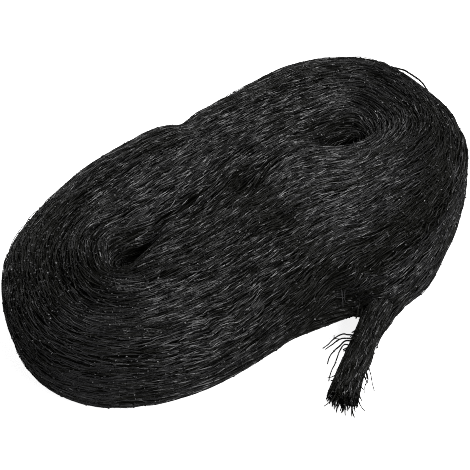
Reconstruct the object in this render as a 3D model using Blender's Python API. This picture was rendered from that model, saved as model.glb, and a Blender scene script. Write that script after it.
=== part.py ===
"""Bird netting wound into a figure-eight hank, lying flat, with one loose end.

A long net gathered lengthwise into a soft rope is wound round two eyes. The turns
fill out to an oval with a slight waist. The last turn lies lower, round the right
lobe, and the rope's cut end leaves it as a short tail on the ground.

Metres, +Z up. The origin is on the ground, midway between the two eyes. +X runs
along the hank, and +Y across it, away from the side where the loose end lies.
"""

import math

import bmesh
import bpy
from mathutils import Vector

MM = 0.001

# Sizes of the wound form, in millimetres.
HALF_LENGTH = 238.0
HALF_WIDTH = 130.5
ROUNDNESS = 3.0  # exponent of the oval: 2 is an ellipse, more is squarer
SPINE_HALF = 124.0  # the slit between the two inner turns, from the middle
SPINE_SWAY = 4.0
SPINE_STEPS = 17  # in each half of the slit
SLIT_UP = 76.0
EYE_REACH = 112.0  # from the slit to the outline, for the round inner turns
COLUMNS = 144
FINE_STEPS = 2880  # for measuring along the oval

# How the plain oval swells and draws in, by direction from the middle.
SWELLS = (
    # direction_deg, spread_deg, rise_mm
    (39.0, 10.0, 6.0),  # right end, far shoulder
    (72.0, 28.0, -9.0),  # far side
    (86.0, 6.0, -9.0),  # waist, where the upper turns cross
    (154.0, 28.0, -21.0),  # left end, far shoulder
    (184.0, 11.0, 7.0),  # left end
    (223.0, 14.0, 4.0),  # left end, near shoulder
    (268.0, 8.0, -7.0),  # waist, behind the loose end
    (332.0, 20.0, -19.0),  # right end, inside the last turn
)

# How far the last turn lies outside the others, by direction from the middle, and
# how much of the wall there has that turn's own section.
LAST_TURN = (
    # direction_deg, rise_mm, lapped
    (266.0, 0.0, 0.0),
    (273.0, 4.0, 0.1),
    (279.0, 14.0, 0.5),
    (285.0, 26.5, 0.95),
    (292.0, 29.0, 1.0),
    (305.0, 27.5, 1.0),
    (320.0, 18.0, 1.0),
    (335.0, 8.0, 0.8),
    (350.0, 3.0, 0.3),
    (364.0, 0.0, 0.0),
)
LAST_TURN_THICK = 28.0

# The section up the wall, from the ground to the rim: the distance inside the
# outline and the height. Beside the last turn, the share tells how much of that
# turn's rise a row goes out with, and its rows lie inside the turn's own outline.
WALL = (
    # plain_in_mm, plain_up_mm, lapped_share, lapped_in_mm, lapped_up_mm
    (30.0, 0.0, 1.0, 27.0, 0.0),
    (17.0, 3.0, 1.0, 14.0, 2.5),
    (7.0, 11.0, 1.0, 5.5, 9.0),
    (2.0, 23.0, 1.0, 1.0, 19.0),
    (0.0, 36.0, 1.0, 0.0, 29.0),
    (1.5, 49.0, 1.0, 2.5, 39.0),
    (6.5, 61.0, 1.0, 8.5, 48.0),
    (13.5, 70.0, 1.0, 16.0, 52.5),
    (20.5, 75.0, 1.0, 23.0, 50.5),
    (27.0, 77.5, 0.0, 0.0, 45.0),
    (34.0, 79.0, 0.0, 4.0, 57.0),
    (41.0, 80.0, 0.0, 11.0, 68.0),
)

# The section over the top, by the share of the way from the rim to the slit. The
# dip is the trough between two turns, whole round the ends and less on the runs.
TOP = (
    # share, plain_up_mm, lapped_up_mm, dip_mm
    (0.10, 79.5, 76.0, 2.0),
    (0.19, 80.0, 79.0, 5.0),
    (0.28, 80.5, 80.0, 1.5),
    (0.38, 81.5, 81.0, 0.0),
    (0.48, 81.5, 81.5, 0.0),
    (0.57, 81.5, 81.5, 1.5),
    (0.65, 81.5, 81.5, 5.0),
    (0.73, 81.0, 81.0, 1.5),
    (0.81, 80.5, 80.5, 0.0),
    (0.89, 80.0, 80.0, 0.0),
    (0.95, 78.5, 78.5, 0.5),
)
RUN_DIP = 0.35  # share of a dip that is left on the straight runs
RUN_HALF = 60.0
END_FROM = 150.0
WANDER = 0.02  # how far the turns stray from even shares

# Soft troughs (depth above 0) and humps (below 0) in the top.
FOLDS = (
    # x_mm, y_mm, heading_deg, half_length_mm, half_width_mm, depth_mm
    (-118.0, -3.0, 8.0, 21.0, 8.5, 30.0),  # left eye
    (116.0, -5.0, -18.0, 22.0, 9.0, 30.0),  # right eye
    (-137.0, -28.0, -52.0, 22.0, 8.0, 7.0),  # step between inner turns, left
    (-62.0, -6.0, -4.0, 40.0, 8.0, 4.0),  # slit running in from the left eye
    (14.0, -6.0, -62.0, 22.0, 11.0, 6.0),  # hollow where the turns cross
    (-2.0, -88.0, -84.0, 34.0, 11.0, 6.0),  # edge of the crossing turns, near side
    (52.0, -20.0, 12.0, 34.0, 12.0, -3.5),  # turn that rises below the right eye
    (-14.0, 44.0, 14.0, 70.0, 24.0, -4.0),  # crossing band
    (-70.0, 80.0, 9.0, 60.0, 8.0, 4.0),  # upper turn tucked under the band
    (-172.0, -48.0, -58.0, 34.0, 8.0, 4.0),  # between turns, left end
    (120.0, 52.0, -6.0, 45.0, 8.0, 3.0),  # between turns, above the right eye
)

# The loose end, from where it leaves the last turn to its cut end.
LOOSE_END = (
    # x_mm, y_mm, up_mm, half_wide_mm, half_high_mm
    (23.5, -151.8, 29.5, 9.5, 10.0),
    (13.0, -156.0, 25.5, 10.0, 10.0),
    (0.0, -162.0, 18.5, 10.0, 10.0),
    (-14.0, -169.0, 12.0, 10.5, 10.0),
    (-28.0, -177.0, 10.0, 11.5, 10.2),
    (-41.0, -185.5, 9.6, 12.5, 10.0),
    (-51.0, -192.5, 9.4, 13.5, 9.8),
)
LOOSE_STEPS = 3  # rings between two rows of the table
LOOSE_SIDES = 16

NETTING_COLOUR = (0.012, 0.012, 0.013, 1.0)
NETTING_ROUGHNESS = 0.45


def clear_scene():
    """Remove whatever the file starts with."""
    for obj in list(bpy.data.objects):
        bpy.data.objects.remove(obj, do_unlink=True)


def netting_material(name):
    """Black net twine with a soft shine."""
    material = bpy.data.materials.new(name)
    material.use_nodes = True
    shader = material.node_tree.nodes["Principled BSDF"]
    shader.inputs["Base Color"].default_value = NETTING_COLOUR
    shader.inputs["Roughness"].default_value = NETTING_ROUGHNESS
    shader.inputs["Metallic"].default_value = 0.0
    return material


def smooth_share(value, start, end):
    """0 at start, 1 at end, easing in and out between them."""
    share = min(max((value - start) / (end - start), 0.0), 1.0)
    return share * share * (3.0 - 2.0 * share)


def blend(first, second, share):
    """The value that lies that share of the way from the first to the second."""
    return first + (second - first) * share


def smooth_row(rows, position):
    """A row of a table at a position between its rows, on a smooth curve."""
    step = min(int(position), len(rows) - 2)
    share = position - step
    before = rows[max(step - 1, 0)]
    here = rows[step]
    there = rows[step + 1]
    beyond = rows[min(step + 2, len(rows) - 1)]
    values = []
    for a, b, c, d in zip(before, here, there, beyond):
        slope_in = 0.5 * (c - a)
        slope_out = 0.5 * (d - b)
        square = 3.0 * (c - b) - 2.0 * slope_in - slope_out
        cube = 2.0 * (b - c) + slope_in + slope_out
        values.append(b + share * (slope_in + share * (square + share * cube)))
    return values


def direction_of(point):
    """The direction of a point from the middle of the hank, in degrees."""
    return math.degrees(math.atan2(point.y, point.x))


def oval_point(turn):
    """A point of the plain oval, in millimetres, for a turn in radians."""
    power = 2.0 / ROUNDNESS
    across = math.copysign(abs(math.cos(turn)) ** power, math.cos(turn))
    up = math.copysign(abs(math.sin(turn)) ** power, math.sin(turn))
    return Vector((HALF_LENGTH * across, HALF_WIDTH * up))


def even_turns(count):
    """Turns round the oval that lie the same distance apart along it."""
    fine = [oval_point(2.0 * math.pi * step / FINE_STEPS) for step in range(FINE_STEPS + 1)]
    along = [0.0]
    for before, after in zip(fine, fine[1:]):
        along.append(along[-1] + (after - before).length)
    turns = []
    step = 0
    for column in range(count):
        wanted = along[-1] * (column + 0.5) / count
        while along[step + 1] < wanted:
            step += 1
        share = (wanted - along[step]) / (along[step + 1] - along[step])
        turns.append(2.0 * math.pi * (step + share) / FINE_STEPS)
    return turns


def outline_point(turn):
    """The outline without the last turn: the plain oval with its swells and waist."""
    plain = oval_point(turn)
    rise = 0.0
    for swell_deg, spread_deg, rise_mm in SWELLS:
        away = (direction_of(plain) - swell_deg + 180.0) % 360.0 - 180.0
        rise += rise_mm * math.exp(-((away / spread_deg) ** 2))
    return plain + plain.normalized() * rise


def last_turn_there(point):
    """The last turn's rise in millimetres and its share of the wall, at a point."""
    direction = direction_of(point) % 360.0
    if direction < LAST_TURN[-1][0] - 360.0:
        direction += 360.0
    for step, (row, after) in enumerate(zip(LAST_TURN, LAST_TURN[1:])):
        if row[0] <= direction <= after[0]:
            share = (direction - row[0]) / (after[0] - row[0])
            rise, lapped = smooth_row(LAST_TURN, step + share)[1:]
            return max(rise, 0.0), min(max(lapped, 0.0), 1.0)
    return 0.0, 0.0


def fold_depth(place):
    """The sum of the soft troughs and humps at a place on the top."""
    depth = 0.0
    for x, y, heading_deg, half_length, half_width, fold_mm in FOLDS:
        heading = math.radians(heading_deg)
        step = place - Vector((x, y))
        along = (step.x * math.cos(heading) + step.y * math.sin(heading)) / half_length
        across = (step.y * math.cos(heading) - step.x * math.sin(heading)) / half_width
        depth += fold_mm * math.exp(-along * along - across * across)
    return depth


def spine_index(turn):
    """The point of the slit that a column runs in to, counted from the middle."""
    along = oval_point(turn).x / SPINE_HALF
    return round(SPINE_STEPS * min(max(along, -1.0), 1.0))


def spine_point(index):
    """A point of the slit in plan, in millimetres."""
    along = index / SPINE_STEPS
    return Vector((SPINE_HALF * along, SPINE_SWAY * math.sin(math.pi * along)))


def wall_points(outer, inward, rise, lapped):
    """The wall's part of a section, from the ground to the rim."""
    points = []
    for plain_in, plain_up, lapped_share, lapped_in, lapped_up in WALL:
        turn_in = lapped_in * blend(1.0, rise / LAST_TURN_THICK, lapped_share)
        place = outer + inward * (blend(plain_in, turn_in, lapped) - lapped_share * rise)
        points.append((place.x, place.y, blend(plain_up, lapped_up, lapped)))
    return points


def top_points(outer, inward, reach, lapped, turn):
    """The top's part of a section, from the rim to the last row before the slit."""
    rim = blend(WALL[-1][0], WALL[-1][3], lapped)
    points = []
    for row, (share, plain_up, lapped_up, dip) in enumerate(TOP):
        stray = WANDER * math.sin(3.0 * turn + 0.7 * row) * math.sin(math.pi * share)
        out = blend(blend(reach - rim, EYE_REACH - rim, share), 0.0, share + stray)
        place = outer + inward * (reach - out)
        end = smooth_share(abs(place.x), RUN_HALF, END_FROM)
        up = blend(plain_up, lapped_up, lapped) - dip * blend(RUN_DIP, 1.0, end)
        points.append((place.x, place.y, up - fold_depth(place)))
    return points


def column_points(turn):
    """One whole section of the hank, in millimetres."""
    outer = outline_point(turn)
    inward = spine_point(spine_index(turn)) - outer
    reach = inward.length
    inward.normalize()
    rise, lapped = last_turn_there(outer)
    wall = wall_points(outer, inward, rise, lapped)
    return wall + top_points(outer, inward, reach, lapped, turn)


def build_hank(material):
    """The wound form as one closed body."""
    shape = bmesh.new()
    turns = even_turns(COLUMNS)
    columns = []
    for turn in turns:
        columns.append([shape.verts.new(Vector(point) * MM) for point in column_points(turn)])
    slit = {}
    for index in range(-SPINE_STEPS, SPINE_STEPS + 1):
        place = spine_point(index)
        slit[index] = shape.verts.new(Vector((*place, SLIT_UP - fold_depth(place))) * MM)
    for column, turn in enumerate(turns):
        after = (column + 1) % COLUMNS
        here = columns[column]
        there = columns[after]
        for row in range(len(here) - 1):
            shape.faces.new((here[row], there[row], there[row + 1], here[row + 1]))
        slit_here = slit[spine_index(turn)]
        slit_there = slit[spine_index(turns[after])]
        if slit_here is slit_there:
            shape.faces.new((here[-1], there[-1], slit_here))
        else:
            shape.faces.new((here[-1], there[-1], slit_there, slit_here))
    shape.faces.new([column[0] for column in reversed(columns)])
    return add_object("hank", shape, material)


def loose_ring(position):
    """One ring of the loose end, flat where it lies on the ground."""
    last = len(LOOSE_END) - 1
    x, y, up, half_wide, half_high = smooth_row(LOOSE_END, position)
    ahead = smooth_row(LOOSE_END, min(position + 0.05, last))
    behind = smooth_row(LOOSE_END, max(position - 0.05, 0.0))
    side = Vector((behind[1] - ahead[1], ahead[0] - behind[0])).normalized()
    points = []
    for step in range(LOOSE_SIDES):
        angle = 2.0 * math.pi * step / LOOSE_SIDES
        across = half_wide * math.cos(angle)
        rise = max(up + half_high * math.sin(angle), 0.0)
        points.append((x + side.x * across, y + side.y * across, rise))
    return points


def build_loose_end(material):
    """The rope's cut end, lying out on the ground from the last turn."""
    shape = bmesh.new()
    rings = []
    for ring in range((len(LOOSE_END) - 1) * LOOSE_STEPS + 1):
        points = loose_ring(ring / LOOSE_STEPS)
        rings.append([shape.verts.new(Vector(point) * MM) for point in points])
    for ring, after in zip(rings, rings[1:]):
        for step in range(LOOSE_SIDES):
            beside = (step + 1) % LOOSE_SIDES
            shape.faces.new((ring[step], ring[beside], after[beside], after[step]))
    shape.faces.new(list(reversed(rings[0])))
    shape.faces.new(rings[-1])
    return add_object("loose_end", shape, material)


def add_object(name, shape, material):
    """Turn a bmesh into a named object with one material, faces pointing out."""
    bmesh.ops.recalc_face_normals(shape, faces=shape.faces)
    mesh = bpy.data.meshes.new(name)
    shape.to_mesh(mesh)
    shape.free()
    mesh.materials.append(material)
    mesh.shade_smooth()
    obj = bpy.data.objects.new(name, mesh)
    bpy.context.scene.collection.objects.link(obj)
    return obj


def main():
    """Build the hank and its loose end."""
    clear_scene()
    build_hank(netting_material("hank_netting"))
    build_loose_end(netting_material("loose_end_netting"))


main()
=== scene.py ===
"""Looks of the bird netting: a black knotted net wound into a hank, with its loose end.

The net is shown as what it is made of: ribbons of knotted twine laid along the turns,
layer over layer, on a dark heart that stands for the turns underneath.
"""

import logging
import math
from collections import Counter
from dataclasses import dataclass, field
from enum import Enum

import bpy
import numpy as np
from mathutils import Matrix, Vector
from mathutils.bvhtree import BVHTree


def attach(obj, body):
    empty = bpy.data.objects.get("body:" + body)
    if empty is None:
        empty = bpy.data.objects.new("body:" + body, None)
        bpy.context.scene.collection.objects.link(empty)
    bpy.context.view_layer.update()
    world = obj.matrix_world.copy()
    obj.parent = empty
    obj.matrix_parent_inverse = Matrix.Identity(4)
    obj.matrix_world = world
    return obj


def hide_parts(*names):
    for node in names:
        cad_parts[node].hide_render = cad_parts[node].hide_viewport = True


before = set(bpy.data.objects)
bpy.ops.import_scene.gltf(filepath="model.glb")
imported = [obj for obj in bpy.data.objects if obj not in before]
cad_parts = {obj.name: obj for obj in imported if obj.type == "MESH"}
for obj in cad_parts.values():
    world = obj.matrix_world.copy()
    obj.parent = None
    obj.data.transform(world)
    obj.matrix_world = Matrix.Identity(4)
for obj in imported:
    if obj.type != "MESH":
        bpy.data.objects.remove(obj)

MM = 0.001
LOG = logging.getLogger("bird_netting")
# Every piece rides on this body.
BODY = "root"
UP = (0.0, 0.0, 1.0)
FULL_TURN = 2.0 * np.pi
# How far a twine may be turned about itself at its start.
ANY_TURN = (0.0, 6.28)
# What puts a place in the last cell of a table and not past it.
IN_LAST_CELL = 1.001

Array = np.ndarray
Random = np.random.Generator
Material = bpy.types.Material
NodeTree = bpy.types.NodeTree
Socket = bpy.types.NodeSocket
Place = tuple[float, float, float]
# x, y, reach and an amount, for a patch in plan that fades out round its middle.
Patch = tuple[float, float, float, float]
# x, y, z, half width and half height of a bundle at one place on its middle line.
BundleRow = tuple[float, float, float, float, float]
# A twine's thickness in mm, then the places that it passes.
StrayRoute = tuple[float | Place, ...]


def linear(hex_colour: str) -> tuple[float, float, float, float]:
    """Turn an sRGB hex colour into the linear colour that Blender's sockets take.

    Args:
        hex_colour: The colour as "#rrggbb".

    Returns:
        Linear red, green and blue, and an alpha of 1.
    """
    parts = []
    for start in (1, 3, 5):
        value = int(hex_colour[start : start + 2], 16) / 255.0
        low = value / 12.92
        high = ((value + 0.055) / 1.055) ** 2.4
        parts.append(low if value <= 0.04045 else high)
    return (*parts, 1.0)


def add_node(
    tree: NodeTree,
    kind: str,
    settings: dict[str | int, object] | None = None,
    links: dict[str | int, Socket] | None = None,
) -> bpy.types.Node:
    """Add one node with its settings and its links.

    Args:
        tree: The node tree that gets the node.
        kind: The node's type name.
        settings: Values by input name or number, or by the node's own property name.
        links: The output socket that feeds each input, by input name or number.

    Returns:
        The new node.
    """
    node = tree.nodes.new(kind)
    for name, value in (settings or {}).items():
        if isinstance(name, int) or name in node.inputs:
            node.inputs[name].default_value = value
        else:
            setattr(node, name, value)
    for name, socket in (links or {}).items():
        tree.links.new(socket, node.inputs[name])
    return node


def add_colour_mix(tree: NodeTree, deep: str, light: str, share: Socket) -> Socket:
    """Go from one colour to another by a share.

    Args:
        tree: The node tree that gets the node.
        deep: The colour at a share of 0, as "#rrggbb".
        light: The colour at a share of 1, as "#rrggbb".
        share: The socket that gives the share.

    Returns:
        The socket that gives the colour.
    """
    share_input, deep_input, light_input, colour_output = 0, 6, 7, 2
    mix = add_node(
        tree,
        "ShaderNodeMix",
        {"data_type": "RGBA", deep_input: linear(deep), light_input: linear(light)},
        {share_input: share},
    )
    return mix.outputs[colour_output]


def new_finish(
    name: str, settings: dict[str, object]
) -> tuple[Material, NodeTree, bpy.types.Node]:
    """Make a material whose shader has some settings that are the same all over.

    Args:
        name: The material's name.
        settings: Values by the shader's input name.

    Returns:
        The material, its node tree and its shader.
    """
    material = bpy.data.materials.new(name)
    material.use_nodes = True
    shader = material.node_tree.nodes["Principled BSDF"]
    for socket, value in settings.items():
        shader.inputs[socket].default_value = value
    return material, material.node_tree, shader


def unit(vectors: Array) -> Array:
    """Scale each vector of an array to a length of one."""
    lengths = np.linalg.norm(vectors, axis=-1, keepdims=True)
    return vectors / np.maximum(lengths, 1e-12)


def ease(value: Array, start: float, end: float) -> Array:
    """Go from 0 at start to 1 at end, easing in and out."""
    share = np.clip((value - start) / (end - start), 0.0, 1.0)
    return share * share * (3.0 - 2.0 * share)


def turned(way: Array, normals: Array, angle: Array) -> Array:
    """Turn directions about the normals.

    Args:
        way: The directions, one row each.
        normals: What each is turned about, one row each.
        angle: How far each is turned, in radians.

    Returns:
        The turned directions, one row each.
    """
    angle = np.asarray(angle)[:, None]
    return way * np.cos(angle) + np.cross(normals, way) * np.sin(angle)


def tumbled(aims: Array, amount: float, rng: Random) -> Array:
    """Knock directions about at random.

    Args:
        aims: The directions, one row each.
        amount: How far, against a length of one.
        rng: The source of chance.

    Returns:
        The new directions, one row each, of a length of one.
    """
    return unit(aims + amount * rng.standard_normal(aims.shape))


def smooth_rows(rows: Array, steps: int) -> Array:
    """Fill in between the rows of a table on a smooth curve.

    Args:
        rows: The table, one row for each given place.
        steps: New rows from one old row to the next.

    Returns:
        The finer table, which still passes through the old rows.
    """
    padded = np.concatenate((rows[:1], rows, rows[-1:]))
    finer = []
    for start in range(len(rows) - 1):
        a, b, c, d = padded[start : start + 4]
        for share in np.arange(steps) / steps:
            slope_in = 0.5 * (c - a)
            slope_out = 0.5 * (d - b)
            square = 3.0 * (c - b) - 2.0 * slope_in - slope_out
            cube = 2.0 * (b - c) + slope_in + slope_out
            finer.append(b + share * (slope_in + share * (square + share * cube)))
    finer.append(rows[-1])
    return np.array(finer)


def ahead_and_side(line: Array) -> tuple[Array, Array]:
    """Find the ways ahead and sideways along a line.

    Args:
        line: Points, one row each.

    Returns:
        The unit vectors ahead and level to the side, one row each.
    """
    ahead = unit(np.gradient(line, axis=0))
    return ahead, unit(np.cross(UP, ahead))


@dataclass(frozen=True)
class PolyethyleneTwine:
    """Black polyethylene net twine, drawn into fine filaments and twisted.

    The drawn filaments are smooth, so each strand has a thin bright line of light
    along it on a nearly black body; the twist breaks that line into short glints.
    """

    name: str = "polyethylene_twine"
    deep_colour: str = "#0b0b0a"
    # The greyer colour stands both for random greying of the twine and, where the strand
    # attribute takes in the lighter patches, for painted light.
    grey_and_painted_light_colour: str = "#272728"
    ior: float = 1.51
    gloss: float = 0.5
    smooth_roughness: float = 0.34
    fuzzy_roughness: float = 0.44
    fuzzy_until: float = 0.4
    smooth_from: float = 0.6
    filament_mm: float = 0.25
    filament_depth_mm: float = 0.05
    filament_relief: float = 0.15
    glint_patch_mm: float = 2.5

    def build(self) -> Material:
        """Make the material with its nodes.

        Returns:
            The finished material.
        """
        material, tree, shader = new_finish(
            self.name, {"IOR": self.ior, "Specular IOR Level": self.gloss}
        )
        place = add_node(tree, "ShaderNodeTexCoord").outputs["Object"]
        strand = add_node(tree, "ShaderNodeAttribute", {"attribute_name": "strand"})
        patches = add_node(
            tree,
            "ShaderNodeTexNoise",
            {"Scale": 1.0 / (self.glint_patch_mm * MM), "Detail": 2.0},
            {"Vector": place},
        )
        # Towards the greyer colour by the strand attribute: random greying, and painted light
        # in the lighter patches.
        colour = add_colour_mix(
            tree, self.deep_colour, self.grey_and_painted_light_colour, strand.outputs["Fac"]
        )
        tree.links.new(colour, shader.inputs["Base Color"])
        rough = add_node(
            tree,
            "ShaderNodeMapRange",
            {
                "From Min": self.fuzzy_until,
                "From Max": self.smooth_from,
                "To Min": self.fuzzy_roughness,
                "To Max": self.smooth_roughness,
            },
            {"Value": patches.outputs["Fac"]},
        )
        tree.links.new(rough.outputs["Result"], shader.inputs["Roughness"])
        filaments = add_node(
            tree,
            "ShaderNodeTexNoise",
            {"Scale": 1.0 / (self.filament_mm * MM), "Detail": 1.0},
            {"Vector": place},
        )
        bump = add_node(
            tree,
            "ShaderNodeBump",
            {"Strength": self.filament_relief, "Distance": self.filament_depth_mm * MM},
            {"Height": filaments.outputs["Fac"]},
        )
        tree.links.new(bump.outputs["Normal"], shader.inputs["Normal"])
        return material


@dataclass(frozen=True)
class RubbedAndShadedTwine(PolyethyleneTwine):
    """The same twine, less glossy and faintly olive: a shaded copy of the twine.

    It stands for twine that rubbing has made matt, and it also paints shade: it throws little
    light back, so the troughs and crossings where it lies look deep, and its faint olive tint
    is the tint that black polyethylene has in the shade, painted on.
    """

    name: str = "rubbed_and_painted_shade_twine"
    # Both colours carry a faint olive tint, which is painted shade.
    deep_colour: str = "#10100d"
    grey_and_painted_light_colour: str = "#181815"
    gloss: float = 0.2
    smooth_roughness: float = 0.4
    fuzzy_roughness: float = 0.6


@dataclass(frozen=True)
class PaleTwine(PolyethyleneTwine):
    """A single filament split off the twine, painted pale grey as painted light, for the light
    that it catches on the wall.
    """

    name: str = "painted_light_split_filament"
    # Both pale colours are painted light.
    deep_colour: str = "#343435"
    grey_and_painted_light_colour: str = "#464648"


@dataclass(frozen=True)
class PackedTwine:
    """The turns underneath, painted near black and without gloss: painted shade, for so little
    light comes back from there.

    Streaks along the turns, at the width of the twine, in a lighter lit colour, are painted
    light on that twine, and give what shows between the upper strands the look of more twine
    and not of a skin.
    """

    name: str = "painted_shade_packed_twine"
    # Near black with no gloss: painted shade; the lit colour of the streaks is painted light.
    deep_colour: str = "#060605"
    lit_colour: str = "#1c1c1a"
    ior: float = 1.51
    roughness: float = 0.6
    gloss: float = 0.0
    twine_mm: float = 1.6
    run_mm: float = 14.0
    groove_mm: float = 0.8
    dark_from: float = 0.45
    lit_from: float = 0.62

    def build(self) -> Material:
        """Make the material with its nodes.

        Returns:
            The finished material.
        """
        settings = {
            "IOR": self.ior,
            "Roughness": self.roughness,
            "Specular IOR Level": self.gloss,
        }
        material, tree, shader = new_finish(self.name, settings)
        turns = add_node(tree, "ShaderNodeAttribute", {"attribute_name": "turn_place"})
        across = 1.0 / (self.twine_mm * MM)
        along = 1.0 / (self.run_mm * MM)
        scaled = add_node(
            tree,
            "ShaderNodeVectorMath",
            {"operation": "MULTIPLY", 1: (along, across, across)},
            {0: turns.outputs["Vector"]},
        )
        streaks = add_node(
            tree,
            "ShaderNodeTexNoise",
            {"Scale": 1.0, "Detail": 2.0},
            {"Vector": scaled.outputs["Vector"]},
        )
        share = add_node(
            tree,
            "ShaderNodeMapRange",
            {"From Min": self.dark_from, "From Max": self.lit_from},
            {"Value": streaks.outputs["Fac"]},
        )
        colour = add_colour_mix(
            tree, self.deep_colour, self.lit_colour, share.outputs["Result"]
        )
        tree.links.new(colour, shader.inputs["Base Color"])
        bump = add_node(
            tree,
            "ShaderNodeBump",
            {"Strength": 1.0, "Distance": self.groove_mm * MM},
            {"Height": streaks.outputs["Fac"]},
        )
        tree.links.new(bump.outputs["Normal"], shader.inputs["Normal"])
        return material


@dataclass(frozen=True)
class PaintedBoard:
    """A board in matt white paint, which takes the light evenly."""

    name: str = "matt_white_paint"
    colour: str = "#fafafa"
    roughness: float = 0.9
    glow: float = 0.9

    def build(self) -> Material:
        """Make the material with its nodes.

        Returns:
            The finished material.
        """
        settings = {
            "Base Color": linear(self.colour),
            "Roughness": self.roughness,
            "Emission Color": linear(self.colour),
            "Emission Strength": self.glow,
        }
        return new_finish(self.name, settings)[0]


@dataclass(frozen=True)
class TwineFinish:
    """The finish of a piece's twine, and the dull, olive one that stands for rubbing and
    paints shade.
    """

    plain: Material
    rubbed_and_shaded: Material


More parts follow.
